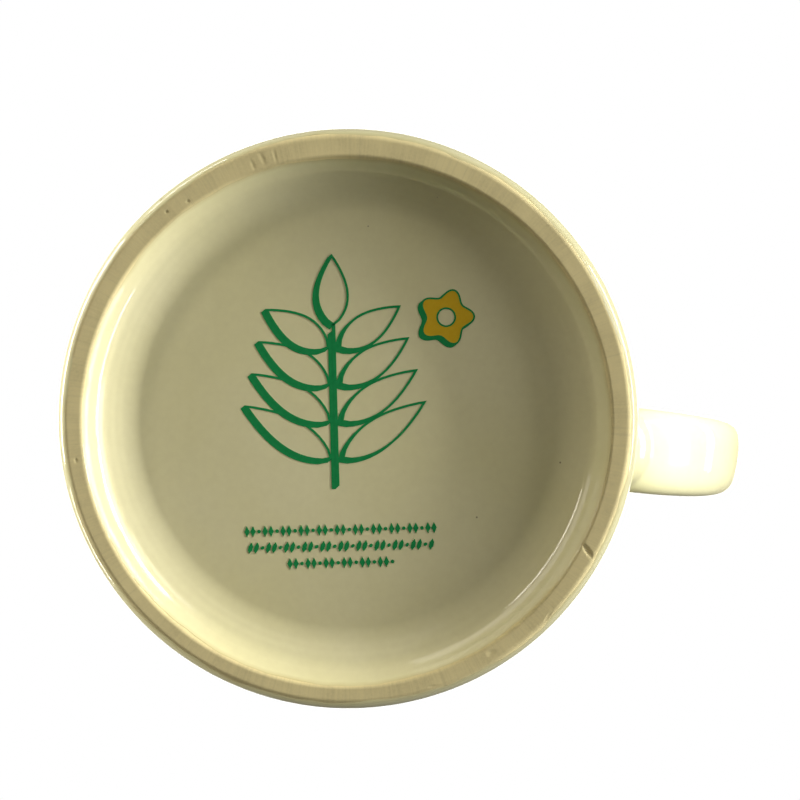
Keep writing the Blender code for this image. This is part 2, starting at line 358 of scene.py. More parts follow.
# Distances from the glaze's edge at which its surface and its underside are sampled
EDGE_STEPS = np.array([0, 0.04, 0.1, 0.18, 0.28, 0.4, 0.55, 0.75, 1.0, 1.4, 1.9, 2.5]) * MM
UNDER_STEPS = np.array([0.05, 0.4, 0.8, 1.3]) * MM
WAVER_REACH = 4.0 * MM
# Relief of the recess glaze: fine turning rings in the cove, and soft waves
RING_DEPTH = 0.004 * MM
SOFT_DEPTH = 0.006 * MM
GRAZE_DEPTH = 0.009 * MM

def glaze_outside(look):
    """Outside, rim and inside in one coat, from its wavering edge on the foot ring to the inside floor."""
    angles = np.arange(FINE) * math.tau / FINE
    near = LINE.span["edge"][0] + EDGE_STEPS
    rest = LINE.stations(edge=16, wall=64, rim=28, bore=48, corner=20, floor=16)
    s = np.concatenate([near, rest[rest > near[-1] + 0.2 * MM]])[:, None]
    waver = wave(angles, 0.16 * MM, OUTSIDE_WAVER)
    waver = waver + 0.25 * MM * bump_at(angles, -46, 14) * np.sin(angles * 42) * np.sin(angles * 17)
    waver = waver - 0.3 * MM * bump_at(angles, 175, 75)
    from_edge = s - LINE.span["edge"][0]
    fade = np.clip(1 - from_edge / WAVER_REACH, 0, 1)
    place = s + waver * fade
    up = np.clip((s - LINE.span["wall"][0]) / (LINE.total - LINE.span["wall"][0]), 0, 1)
    swell = np.sin(2 * angles + 9 * up + 0.7) + 0.7 * np.sin(5 * angles - 21 * up)
    swell = swell + 0.4 * np.sin(11 * angles + 33 * up)
    lift = lip(from_edge) * settle(from_edge)
    lift = lift - (0.03 * MM + 0.014 * MM * swell) * np.clip(from_edge / (6 * MM), 0, 1)
    r, z = LINE.at(place, lift)
    z = np.maximum(z, 0)
    near_under = LINE.span["edge"][0] + UNDER_STEPS
    under = np.concatenate([near_under, np.linspace(near_under[-1] + 0.5 * MM, LINE.total, 90)])[:, None]
    under_fade = np.clip(1 - (under - LINE.span["edge"][0]) / WAVER_REACH, 0, 1)
    r_under, z_under = LINE.at(under + waver * under_fade, -thickness(under - LINE.span["edge"][0]))
    r[-1], r_under[-1] = 0, 0
    verts, faces = turned(np.concatenate([r[::-1], r_under]), np.concatenate([z[::-1], z_under]), FINE)
    obj = piece("mug_glaze", verts, faces, look, ("outer_glaze", "liner_glaze"))
    mark_edge_distance(obj, from_edge[::-1][1:], len(r_under) - 1)
    return obj


def glaze_recess(look):
    """The coat inside the foot ring: a nearly flat disc, the cove with its soft crease, and the wavering edge."""
    angles = np.arange(FINE) * math.tau / FINE
    edge = BARE_FROM
    near = edge - EDGE_STEPS[::-1]
    rest = LINE.stations(recess=36, cove=60)
    s = np.concatenate([rest[rest < near[0] - 0.1 * MM], near])[:, None]
    waver = wave(angles, 0.14 * MM, RECESS_WAVER)
    from_edge = edge - s
    place = s + waver * np.clip(1 - from_edge / WAVER_REACH, 0, 1)
    lift = lip(from_edge) * settle(from_edge)
    r, z = LINE.at(place, lift)
    rings = RING_DEPTH * np.sin(r / (0.16 * MM) + 0.8 * np.sin(angles + 0.5))
    rings = rings * np.clip((r - 31 * MM) / (2 * MM), 0, 1)
    soft = SOFT_DEPTH * (np.sin(2 * angles + r * 90) + np.sin(3 * angles - r * 160 + 1.3))
    soft = soft * np.clip(r / (12 * MM), 0, 1)
    r, z = LINE.at(place, lift + rings + soft)
    r = shifted(r, angles)
    near_under = edge - UNDER_STEPS
    under = np.concatenate([near_under, np.linspace(near_under[-1] - 0.5 * MM, 0, 50)])[:, None]
    under_fade = np.clip(1 - (edge - under) / WAVER_REACH, 0, 1)
    r_under, z_under = LINE.at(under + waver * under_fade, -thickness(edge - under))
    r_under = shifted(r_under, angles)
    r[0], r_under[-1] = 0, 0
    verts, faces = turned(np.concatenate([r, r_under]), np.concatenate([z, z_under]), FINE)
    obj = piece("recess_glaze", verts, faces, look, ("base_glaze",))
    mark_edge_distance(obj, from_edge[1:], len(r_under) - 1)
    return obj


CHIPS = (
    # bearing in degrees, place across the bare ring (0 inside to 1 outside), half length and half width in mm,
    # turn in degrees of the length from the way round, depth in mm
    (-28.3, 0.48, 1.45, 0.45, -64, 0.18),
    (107.7, 0.55, 0.9, 0.35, 80, 0.05),
    (105.0, 0.50, 0.8, 0.25, 90, 0.04),
    (110.0, 0.40, 0.8, 0.30, 85, 0.04),
    (-58.0, 0.45, 0.8, 0.6, 20, 0.05),
    (188.5, 0.50, 0.35, 0.3, 0, 0.09),
    (130.7, 0.55, 0.22, 0.2, 0, 0.14),
    (125.8, 0.35, 0.3, 0.2, 40, 0.10),
    (-72.0, 0.80, 0.8, 0.25, 10, 0.05),
    (-44.0, 0.85, 1.2, 0.25, -10, 0.06),
)


def clay_body(look):
    """The cup's clay. Only the foot ring shows: ground flat, grazed across and nicked in a few places."""
    angles = np.arange(FINEST) * math.tau / FINEST
    bare = np.linspace(BARE_FROM - 1.2 * MM, BARE_TO + 1.2 * MM, 56)
    inside = LINE.stations(recess=8, cove=24)
    outside = LINE.stations(edge=10, wall=12, rim=12, bore=12, corner=10, floor=6)
    s = np.concatenate([inside[inside < bare[0] - 0.3 * MM], bare, outside[outside > bare[-1] + 0.3 * MM]])[:, None]
    covered = np.clip((np.maximum(BARE_FROM - s, s - BARE_TO) - SINK_FROM) / SINK_W, 0, 1)
    lift = -CLAY_UNDER * 1.15 * covered + 0 * angles
    across = (s - BARE_FROM) / (BARE_TO - BARE_FROM)
    showing = np.clip(1 - np.abs(across - 0.5) * 2, 0, 1) ** 0.5
    graze = np.abs(wave(angles, 1, GRAZE))
    where = 0.2 + 0.8 * bump_at(angles, 88, 40)
    lift = lift - GRAZE_DEPTH * graze * where * showing
    for bearing, place, length, width, turn, depth in CHIPS:
        round_mm = np.radians(from_bearing(angles, bearing)) * FOOT_OUT_R / MM
        across_mm = (across - place) * (BARE_TO - BARE_FROM) / MM
        c, d = math.cos(math.radians(turn)), math.sin(math.radians(turn))
        along, beside = round_mm * c + across_mm * d, across_mm * c - round_mm * d
        ragged = 1 + 0.2 * np.sin(5 * round_mm + 3 * across_mm) + 0.12 * np.sin(9 * across_mm - 4 * round_mm)
        q = (along / length) ** 2 + (beside / width) ** 2
        lift = lift - depth * MM * np.clip(1 - q * ragged, 0, 1) ** 1.3
    r, z = LINE.at(s + 0 * angles, lift)
    r = np.where(s < BARE_TO, shifted(r, angles), r)
    r[0], r[-1] = 0, 0
    verts, faces = turned(r, z, FINEST)
    return piece("mug_clay", verts, faces, look, ("cup_body",))


# ---------------------------------------------------------------- the handle


def signed_power(value, power):
    return np.sign(value) * np.abs(value) ** power


def strap_centre(turn):
    """The strap's centreline at an angle from -90 degrees, low on the wall, to 90 degrees, high on it."""
    reach = HANDLE_REACH - STRAP_THICK / 2 - BODY_R
    rise = np.where(turn > 0, HANDLE_TOP_Z - HANDLE_OUT_Z, HANDLE_OUT_Z - HANDLE_LOW_Z)
    x = BODY_R + reach * signed_power(np.cos(turn), 2 / BEND_POWER)
    z = HANDLE_OUT_Z + rise * signed_power(np.sin(turn), 2 / BEND_POWER)
    return x, z


def strap_turns(steps):
    """Angles spaced for even steps along the strap, with ever closer ones towards the wall."""
    fine = np.linspace(-math.pi / 2, math.pi / 2, 4001)
    x, z = strap_centre(fine)
    length = np.concatenate([[0], np.cumsum(np.hypot(np.diff(x), np.diff(z)))])
    middle = np.linspace(6 * MM, length[-1] - 6 * MM, steps)
    close = 6 * MM * (1 - np.cos(np.linspace(0, math.pi / 2, 40)))[:-1] ** 1.2
    wanted = np.concatenate([close, middle, (length[-1] - close)[::-1]])
    return np.interp(wanted, length, fine)


def flare(distance, size):
    """A fillet's extra height at a distance from the wall."""
    gap = np.clip(size - distance, 0, size)
    return size - np.sqrt(np.clip(size**2 - gap**2, 0, None))


def strap_skin(inset, wall_r, steps, around, flared):
    """Rings of points round the strap, ending on a cylinder, with fillets against the wall."""
    turn = strap_turns(steps)[:, None]
    x, z = strap_centre(turn)
    ahead = strap_centre(np.minimum(turn + 0.004, math.pi / 2))
    behind = strap_centre(np.maximum(turn - 0.004, -math.pi / 2))
    dx, dz = ahead[0] - behind[0], ahead[1] - behind[1]
    size = np.hypot(dx, dz)
    out_x, out_z = dz / size, -dx / size
    near = np.clip((x - BODY_R) / ROOT_BLEND, 0, 1)
    near = near * near * (3 - 2 * near)
    out_x = out_x * near
    out_z = np.where(turn > 0, 1, -1) * (1 - near) + out_z * near
    width = STRAP_W_OUT + (np.where(turn > 0, STRAP_W_TOP, STRAP_W_LOW) - STRAP_W_OUT) * np.sin(turn) ** 2
    angle = np.arange(around) * math.tau / around
    side, face = signed_power(np.sin(angle), 2 / SECTION_POWER), signed_power(np.cos(angle), 2 / SECTION_POWER)
    distance = x - BODY_R
    spread = flare(distance, SIDE_FILLET) if flared else 0
    deepen = flare(distance, FACE_FILLET) if flared else 0
    half_w = width / 2 - inset
    across = (half_w + spread) * side
    if flared:
        level = 1 - np.clip(np.abs(across) / (half_w + spread), 0, 1) ** 2
        tongue_x = (TONGUE_REACH[0] + TONGUE_REACH[1] * level**TONGUE_POWER) * MM
        tongue_z = (TONGUE_DEPTH[0] + TONGUE_DEPTH[1] * level**TONGUE_POWER) * MM
        tongue = tongue_z * np.clip(1 - (distance / tongue_x) ** 2, 0, 1)
        root = ROOT_SWELL * np.clip(1 - distance / ROOT_SWELL_REACH, 0, 1) ** 2
        low_face = (np.cos(angle) > 0) & (turn < 0)
        deepen = np.where(low_face, np.maximum(deepen, root + tongue), deepen)
    through = (STRAP_THICK / 2 - inset + deepen) * face
    sag = wall_r - np.sqrt(wall_r**2 - across**2)
    px = wall_r + distance + through * out_x - sag * (1 - near)
    pz = z + through * out_z
    return np.stack([AXIS_X + px, across + 0 * px, pz + 0 * px], -1)


def glaze_handle(look):
    """The glazed strap, which flows into the wall with small fillets and a tongue of glaze-covered slip below."""
    outer = strap_skin(0, BODY_R - STRAP_SUNK, STRAP_STEPS, STRAP_ROUND, True)
    inner = strap_skin(GLAZE, BODY_R - STRAP_SUNK, STRAP_STEPS, STRAP_ROUND, False)
    rows = np.concatenate([outer, inner[::-1]])
    verts = rows.reshape(-1, 3)
    faces = grid_faces(len(rows), STRAP_ROUND, closed=True)
    return piece("handle_glazed", verts, faces, look, ("handle_glaze",))


# ---------------------------------------------------------------- the print


def print_point(right, up, z):
    c, s = math.cos(PRINT_TURN), math.sin(PRINT_TURN)
    return AXIS_X + right * c - up * s, -right * s - up * c, z


def signed_area(loop):
    """The area of a loop, positive if it runs anticlockwise."""
    return 0.5 * np.sum(loop[:, 0] * np.roll(loop[:, 1], -1) - np.roll(loop[:, 0], -1) * loop[:, 1])


class Print:
    """Flat inked shapes gathered into one mesh. Shapes are loops of (right, up) points in millimetres."""

    def __init__(self, proud=INK_PROUD):
        self.verts, self.faces = [], []
        self.low, self.high = RECESS_DEPTH - proud, RECESS_DEPTH + INK_SUNK

    def points(self, loop, z):
        first = len(self.verts)
        self.verts += [print_point(right * MM, up * MM, z) for right, up in loop]
        return list(range(first, len(self.verts)))

    def plate(self, loop):
        """A filled shape."""
        low, high = self.points(loop, self.low), self.points(loop, self.high)
        self.faces += [low, high[::-1]]
        for i in range(len(loop)):
            n = (i + 1) % len(loop)
            self.faces.append([low[i], low[n], high[n], high[i]])

    def band(self, outer, inner):
        """The stretch between two loops with as many points each."""
        rings = [self.points(outer, self.low), self.points(outer, self.high)]
        rings += [self.points(inner, self.high), self.points(inner, self.low)]
        for a, b in zip(rings, rings[1:] + rings[:1]):
            for i in range(len(a)):
                n = (i + 1) % len(a)
                self.faces.append([a[i], a[n], b[n], b[i]])

    def shadow(self, loop, shift):
        """The block shadow of a loop: what it sweeps when it is moved by shift, outside the loop."""
        loop = np.asarray(loop, float)
        edges = np.roll(loop, -1, 0) - loop
        outward = np.stack([edges[:, 1], -edges[:, 0]], -1) * np.sign(signed_area(loop))
        facing = outward @ np.array(shift) > 0
        count = len(loop)
        starts = [i for i in range(count) if facing[i] and not facing[i - 1]]
        for start in starts:
            run = [start]
            while facing[run[-1] % count] and len(run) <= count:
                run.append(run[-1] + 1)
            near = [tuple(loop[i % count]) for i in run]
            far = [(p[0] + shift[0], p[1] + shift[1]) for p in near]
            self.plate(near + far[::-1])

    def build(self, name, look, nodes):
        obj = piece(name, self.verts, self.faces, look, nodes, smooth=False)
        mesh = bmesh.new()
        mesh.from_mesh(obj.data)
        bmesh.ops.remove_doubles(mesh, verts=mesh.verts, dist=0.0005 * MM)
        bmesh.ops.triangulate(mesh, faces=mesh.faces, ngon_method="EAR_CLIP")
        bmesh.ops.recalc_face_normals(mesh, faces=mesh.faces)
        mesh.to_mesh(obj.data)
        mesh.free()
        return obj


def inset(loop, distance):
    """The loop moved inward by a distance."""
    loop = np.asarray(loop, float)
    ahead, behind = np.roll(loop, -1, 0) - loop, loop - np.roll(loop, 1, 0)
    ahead = ahead / np.maximum(np.linalg.norm(ahead, axis=1, keepdims=True), 1e-9)
    behind = behind / np.maximum(np.linalg.norm(behind, axis=1, keepdims=True), 1e-9)
    along = ahead + behind
    inward = np.stack([-along[:, 1], along[:, 0]], -1) * np.sign(signed_area(loop))
    size = np.linalg.norm(inward, axis=1, keepdims=True)
    inward = inward / np.maximum(size, 1e-9)
    reach = distance / np.clip(size / 2, 0.45, 1)
    return loop + inward * reach


def leaf_loop(root, heading, length, width, steps=14):
    """A pointed leaf from its root round to its root again."""
    loop = []
    for side in (1, -1):
        for i in range(steps):
            share = i / steps if side > 0 else 1 - i / steps
            half = side * width / 2 * math.sin(math.pi * share**0.8) ** 0.9
            along = length * share
            right = root[0] + along * math.sin(heading) + half * math.cos(heading)
            up = root[1] + along * math.cos(heading) - half * math.sin(heading)
            loop.append((right, up))
    return loop


def bar_loop(start, end, width):
    """A thin straight bar."""
    start, end = np.array(start, float), np.array(end, float)
    along = (end - start) / np.linalg.norm(end - start)
    half = np.array([-along[1], along[0]]) * width / 2
    return [tuple(start + half), tuple(start - half), tuple(end - half), tuple(end + half)]


SPRIG_FOOT = (-1.7, -9.4)
STEM_LENGTH = 24.8
LEAF_LEAN = math.radians(57)
LEAF_PAIRS = 4
LEAF_LENGTH = 14.6
LEAF_SHRINK = 0.09
LEAF_W = 4.6
TIP_LEAF_LENGTH = 10.2
FIRST_LEAF_UP = 3.8
STEM_W = 0.5
SHADOW = (-0.62, -0.5)
OUTLINE = 0.34


def print_sprig(look):
    """Outlined leaves with a block shadow, on both sides of a stem and one at its tip."""
    ink = Print()
    shade = Print(0.8 * INK_PROUD)
    spacing = (STEM_LENGTH - FIRST_LEAF_UP) / LEAF_PAIRS
    leaves = []
    for i in range(LEAF_PAIRS):
        at = SPRIG_FOOT[1] + FIRST_LEAF_UP + spacing * i
        for side in (-1, 1):
            root = (SPRIG_FOOT[0] + side * 0.7, at)
            leaves.append(leaf_loop(root, side * LEAF_LEAN, LEAF_LENGTH * (1 - LEAF_SHRINK * i), LEAF_W))
    stem_top = SPRIG_FOOT[1] + FIRST_LEAF_UP + spacing * 3.6
    leaves.append(leaf_loop((SPRIG_FOOT[0], stem_top), 0, TIP_LEAF_LENGTH, LEAF_W))
    for loop in leaves:
        ink.band(loop, inset(loop, OUTLINE))
        shade.shadow(loop, SHADOW)
    tip = (SPRIG_FOOT[0], stem_top + 0.3)
    ink.plate(bar_loop(SPRIG_FOOT, tip, STEM_W))
    shade.shadow(bar_loop(SPRIG_FOOT, (tip[0], tip[1] - 1), STEM_W), SHADOW)
    ink.build("sprig_outlines", look, ("print_sprig_green",))
    shade.build("sprig_shadows", look, ())


BLOSSOM_AT = (14.3, 14.1)
BLOSSOM_R = 4.1


def flower_loop(radius, dip, steps=90):
    loop = []
    for i in range(steps):
        a = math.tau * i / steps
        r = radius * (1 - dip + dip * math.cos(5 * a))
        loop.append((BLOSSOM_AT[0] + r * math.cos(a), BLOSSOM_AT[1] + r * math.sin(a)))
    return loop


def print_blossom(yellow, green):
    """A yellow blossom with a pale heart, outlined in green, with the same block shadow."""
    petals = Print(0.9 * INK_PROUD)
    petals.band(flower_loop(BLOSSOM_R - 0.1, 0.14), flower_loop(1.25, 0.0))
    petals.build("blossom_petals", yellow, ("print_blossom_yellow",))
    lines = Print()
    outline = flower_loop(BLOSSOM_R, 0.14)
    lines.band(outline, inset(outline, 0.26))
    lines.band(flower_loop(1.4, 0.0), flower_loop(1.15, 0.0))
    lines.shadow(outline, (SHADOW[0] * 0.8, SHADOW[1] * 0.8))
    lines.build("blossom_outlines", green, ())


ROW_WIDTHS = (28.3, 27.0, 16.0)
FIRST_ROW_AT = (-1.5, -15.7)
ROW_PITCH = 2.35
MARK_HEIGHT = 1.6
MARK_PITCH = 0.86
MARK_SLANT = 0.25


def mark_loop(kind, centre, height, slant):
    """One small ornament of a row: a lozenge, a dot, or a leaf."""
    shapes = {
        "lozenge": [(0, 0.5), (-0.24, 0), (0, -0.5), (0.24, 0)],
        "dot": [(0.17 * math.cos(a), 0.17 * math.sin(a)) for a in np.linspace(0, math.tau, 9)[:-1]],
        "leaf": [(0, 0.5), (-0.2, 0.18), (-0.2, -0.2), (0, -0.5), (0.2, -0.2), (0.2, 0.18)],
    }
    return [(centre[0] + (x + slant * y) * height, centre[1] + y * height) for x, y in shapes[kind]]


def print_rows(look):
    """Three lines of small ornaments: lozenges or leaves with dots between them."""
    for number, width in enumerate(ROW_WIDTHS):
        ink = Print()
        leafy = number == 1
        count = int(width / MARK_PITCH)
        up = FIRST_ROW_AT[1] - ROW_PITCH * number
        for i in range(count):
            right = FIRST_ROW_AT[0] + (i - (count - 1) / 2) * MARK_PITCH
            kind = "dot" if i % 3 == 2 else ("leaf" if leafy else "lozenge")
            ink.plate(mark_loop(kind, (right, up), MARK_HEIGHT, MARK_SLANT if leafy else 0.0))
        ink.build(f"ornament_row_{number + 1}", look, (f"print_row_{number + 1}",))


SPECKS = (
    # bearing in degrees, millimetres from the cup's axis, radius in millimetres
    (67.9, 33.7, 0.20),
    (-11.5, 30.7, 0.17),
    (-37.3, 23.0, 0.17),
    (-107.4, 35.0, 0.20),
    (84.0, 27.5, 0.12),
)


def speck_places():
    """The centre and radius of each iron speck in the recess."""
    cove, places = cove_line(), []
    for bearing, r, size in SPECKS:
        angle = -math.radians(bearing) - VIEW_TURN
        z = float(np.interp(r * MM, cove[:, 0], cove[:, 1]))
        places.append(((AXIS_X + r * MM * math.cos(angle), r * MM * math.sin(angle), z), size * MM))
    return places


# ---------------------------------------------------------------- materials


class Look:
    """A Principled material and short ways to add nodes to it."""

    def __init__(self, name, roughness, **sockets):
        self.material = bpy.data.materials.new(name)
        self.material.use_nodes = True
        self.tree = self.material.node_tree
        self.shader = self.tree.nodes["Principled BSDF"]
        self.shader.inputs["Roughness"].default_value = roughness
        for socket, value in sockets.items():
            self.shader.inputs[socket.replace("_", " ")].default_value = value
        self.place = self.node("TexCoord").outputs["Object"]

    def node(self, kind, inputs=(), **settings):
        made = self.tree.nodes.new("ShaderNode" + kind)
        for setting, value in settings.items():
            setattr(made, setting, value)
        for key, value in dict(inputs).items():
            if isinstance(value, bpy.types.NodeSocket):
                self.tree.links.new(value, made.inputs[key])
            else:
                made.inputs[key].default_value = value
        return made

    def math(self, operation, *values, clamp=False):
        made = self.node("Math", dict(enumerate(values)), operation=operation, use_clamp=clamp)
        return made.outputs[0]

    def noise(self, scale, detail=2.0, vector=None, roughness=0.5):
        inputs = {"Vector": vector or self.place, "Scale": scale, "Detail": detail, "Roughness": roughness}
        return self.node("TexNoise", inputs).outputs["Fac"]

    def spread(self, value, low, high, to_low=0.0, to_high=1.0):
        """Maps a value from one range to another and clamps it."""
        inputs = {"Value": value, "From Min": low, "From Max": high, "To Min": to_low, "To Max": to_high}
        return self.node("MapRange", inputs).outputs["Result"]

    def mix(self, factor, first, second):
        """Blends two colours, each a colour or a socket."""
        made = self.node("Mix", data_type="RGBA")
        for index, value in ((0, factor), (6, first), (7, second)):
            if isinstance(value, bpy.types.NodeSocket):
                self.tree.links.new(value, made.inputs[index])
            elif index == 0:
                made.inputs[index].default_value = value
            else:
                made.inputs[index].default_value = (*value, 1)
        return made.outputs[2]

    def spots(self, places):
        """1 within small spots, each a centre and a radius, and 0 beyond them."""
        total = 0.0
        for centre, radius in places:
            away = self.node("VectorMath", {0: self.place, 1: centre}, operation="DISTANCE").outputs["Value"]
            total = self.math("MAXIMUM", self.spread(away, 0.5 * radius, radius, 1, 0), total)
        return total

    def attribute(self, name):
        return self.node("Attribute", attribute_name=name).outputs["Fac"]

    def polar(self, along, across):
        """Coordinates round the cup's axis, for a pattern stretched by its two scales."""
        parts = self.node("SeparateXYZ", {0: self.place})
        x = self.math("SUBTRACT", parts.outputs[0], AXIS_X)
        y = parts.outputs[1]
        r = self.math("SQRT", self.math("ADD", self.math("MULTIPLY", x, x), self.math("MULTIPLY", y, y)))
        unit = self.math("DIVIDE", along, r)
        inputs = {
            0: self.math("MULTIPLY", x, unit),
            1: self.math("MULTIPLY", y, unit),
            2: self.math("MULTIPLY", r, across),
        }
        return self.node("CombineXYZ", inputs).outputs[0]

    def colour(self, socket):
        self.tree.links.new(socket, self.shader.inputs["Base Color"])

    def gloss(self, socket):
        self.tree.links.new(socket, self.shader.inputs["Roughness"])

    def bumps(self, *heights):
        """Adds surface relief from (height socket, depth in metres) pairs."""
        normal = None
        for height, depth in heights:
            inputs = {"Height": height, "Distance": depth, "Strength": 1.0}
            if normal:
                inputs["Normal"] = normal
            normal = self.node("Bump", inputs).outputs[0]
        self.tree.links.new(normal, self.shader.inputs["Normal"])


STREAK_ALONG = 110.0
STREAK_ACROSS = 60.0
INK_WEAR = 0.12
SPECK_BROWN = (0.20, 0.14, 0.07)
PINHOLE_BROWN = (0.30, 0.22, 0.10)
GRAIN = (0.72, 0.65, 0.36)
CREAM = (0.84, 0.78, 0.44)
CREAM_THICK = (0.87, 0.81, 0.49)
CREAM_THIN = (0.74, 0.64, 0.31)


def glaze_look(name, edged):
    """Glossy cream glaze: clouds, specks and orange peel, and if edged, brown where it thins at its edge."""
    look = Look(name, 0.08, IOR=1.5)
    clouds = look.spread(look.noise(45, 3), 0.35, 0.65)
    colour = look.mix(clouds, CREAM, CREAM_THICK)
    grain = look.spread(look.noise(900, 2), 0.3, 0.7)
    colour = look.mix(look.math("MULTIPLY", grain, 0.18), colour, GRAIN)
    specks = look.node("TexVoronoi", {"Vector": look.place, "Scale": 260.0}, feature="F1")
    rare = look.spread(specks.outputs["Color"], 0.86, 0.9)
    speck = look.math("MULTIPLY", look.spread(specks.outputs["Distance"], 0.05, 0.11, 1, 0), rare)
    colour = look.mix(look.math("MULTIPLY", speck, 0.35), colour, PINHOLE_BROWN)
    if edged:
        colour = look.mix(look.math("MULTIPLY", look.spots(speck_places()), 0.7), colour, SPECK_BROWN)
        thin = look.spread(look.attribute("from_edge"), 0.0, 0.75, 1, 0)
        uneven = look.spread(look.noise(350, 3), 0.3, 0.7, 0.7, 1.0)
        colour = look.mix(look.math("MULTIPLY", look.math("MULTIPLY", thin, uneven), 0.9), colour, CREAM_THIN)
    look.colour(colour)
    look.gloss(look.spread(look.noise(120, 4), 0.3, 0.7, 0.05, 0.11))
    look.bumps((look.noise(140, 2), 0.06 * MM), (look.noise(700, 2), 0.006 * MM))
    return look.material


def clay_look(name, base, streaked):
    """Bare fired clay: tan and gritty, with grinding streaks across the foot ring if streaked."""
    look = Look(name, 0.8, IOR=1.45)
    dark = tuple(0.86 * c for c in base)
    light = tuple(min(1.0, 1.1 * c) for c in base)
    patches = look.spread(look.noise(160, 4), 0.3, 0.7)
    colour = look.mix(patches, dark, light)
    grit = look.noise(2600, 3)
    colour = look.mix(look.spread(grit, 0.35, 0.75, 0, 0.5), colour, light)
    heights = [(grit, 0.006 * MM), (look.noise(600, 3), 0.012 * MM)]
    if streaked:
        streaks = look.noise(1.0, 4, look.polar(STREAK_ALONG, STREAK_ACROSS), 0.6)
        colour = look.mix(look.spread(streaks, 0.45, 0.72, 0, 0.6), colour, light)
        colour = look.mix(look.spread(streaks, 0.42, 0.28, 0, 0.5), colour, dark)
        heights.append((streaks, 0.012 * MM))
    look.colour(colour)
    look.gloss(look.spread(look.noise(400, 3), 0.3, 0.7, 0.65, 0.9))
    look.bumps(*heights)
    return look.material


def ink_look(name, base):
    """Printed ink under a thin clear coat: a little uneven, as a screened transfer is."""
    look = Look(name, 0.1, IOR=1.5)
    uneven = look.spread(look.noise(1500, 3), 0.35, 0.75, 0, INK_WEAR)
    look.colour(look.mix(uneven, base, tuple(min(1.0, c * 1.6 + 0.05) for c in base)))
    look.gloss(look.spread(look.noise(500, 2), 0.3, 0.7, 0.08, 0.16))
    look.bumps((look.noise(900, 2), 0.004 * MM))
    return look.material


def carried_over_looks(clay, slip):
    """The clay pieces that stay CAD nodes get their own finish."""
    for name, look in (("handle_core", clay), ("lower_slip_joint", slip), ("upper_slip_joint", slip)):
        data = frame["nodes"][name].data
        data.materials.clear()
        data.materials.append(look)


# ---------------------------------------------------------------- stage, light and camera


FLOOR_R = 3.0
FLOOR_GAP = 0.1 * MM


def floor():
    """A plain pale floor that shows from above only, so that the foot can be looked at from below."""
    mesh = bmesh.new()
    bmesh.ops.create_circle(mesh, cap_ends=True, segments=96, radius=FLOOR_R)
    data = bpy.data.meshes.new("floor")
    mesh.to_mesh(data)
    mesh.free()
    obj = bpy.data.objects.new("floor", data)
    obj.location.z = -FLOOR_GAP
    bpy.context.scene.collection.objects.link(obj)
    look = Look("pale_floor", 0.6)
    look.colour(look.mix(look.noise(6, 3), (0.80, 0.79, 0.77), (0.84, 0.83, 0.81)))
    clear = look.node("BsdfTransparent")
    choice = look.node("MixShader", {0: look.node("NewGeometry").outputs["Backfacing"]})
    look.tree.links.new(look.shader.outputs[0], choice.inputs[1])
    look.tree.links.new(clear.outputs[0], choice.inputs[2])
    look.tree.links.new(choice.outputs[0], look.tree.nodes["Material Output"].inputs[0])
    data.materials.append(look.material)
    obj.visible_shadow = False
    obj.visible_diffuse = False
    obj.visible_glossy = False
    obj.visible_transmission = False
    return obj


def view_axes():
    """The view's right and up directions in the foot's plane, as seen from below."""
    right = Vector((math.cos(VIEW_TURN), -math.sin(VIEW_TURN), 0))
    up = Vector((-math.sin(VIEW_TURN), -math.cos(VIEW_TURN), 0))
    return right, up


def camera():
    right, up = view_axes()
    axis = Vector((AXIS_X, 0, 0))
    place = axis + right * VIEW_OFFSET[0] + up * VIEW_OFFSET[1] - Vector((0, 0, VIEW_DISTANCE))
    target = axis + right * VIEW_TARGET[0] + up * VIEW_TARGET[1]
    ahead = (target - place).normalized()
    side = ahead.cross(up).normalized()
    data = bpy.data.cameras.new("camera")
    data.lens = VIEW_LENS
    data.clip_start = 0.01
    obj = bpy.data.objects.new("camera", data)
    turn = Matrix((side, side.cross(ahead), -ahead)).transposed().to_4x4()
    obj.matrix_world = Matrix.Translation(place) @ turn
    bpy.context.scene.collection.objects.link(obj)
    bpy.context.scene.camera = obj


def soft_light(name, bearing, depth, distance, size, power, colour=PLAIN_WHITE):
    """A rectangular area light aimed at the cup. Its depth is in degrees below the floor."""
    right, up = view_axes()
    bearing, depth = math.radians(bearing), math.radians(depth)
    level = right * math.cos(bearing) + up * math.sin(bearing)
    direction = level * math.cos(depth) - Vector((0, 0, math.sin(depth)))
    data = bpy.data.lights.new(name, "AREA")
    data.shape = "RECTANGLE"
    data.size, data.size_y = size
    data.energy = power
    data.color = colour
    obj = bpy.data.objects.new(name, data)
    centre = Vector((AXIS_X, 0, 0))
    obj.location = centre + direction * distance
    obj.rotation_euler = (-direction).to_track_quat("-Z", "Y").to_euler()
    obj.visible_camera = False
    bpy.context.scene.collection.objects.link(obj)
    return obj


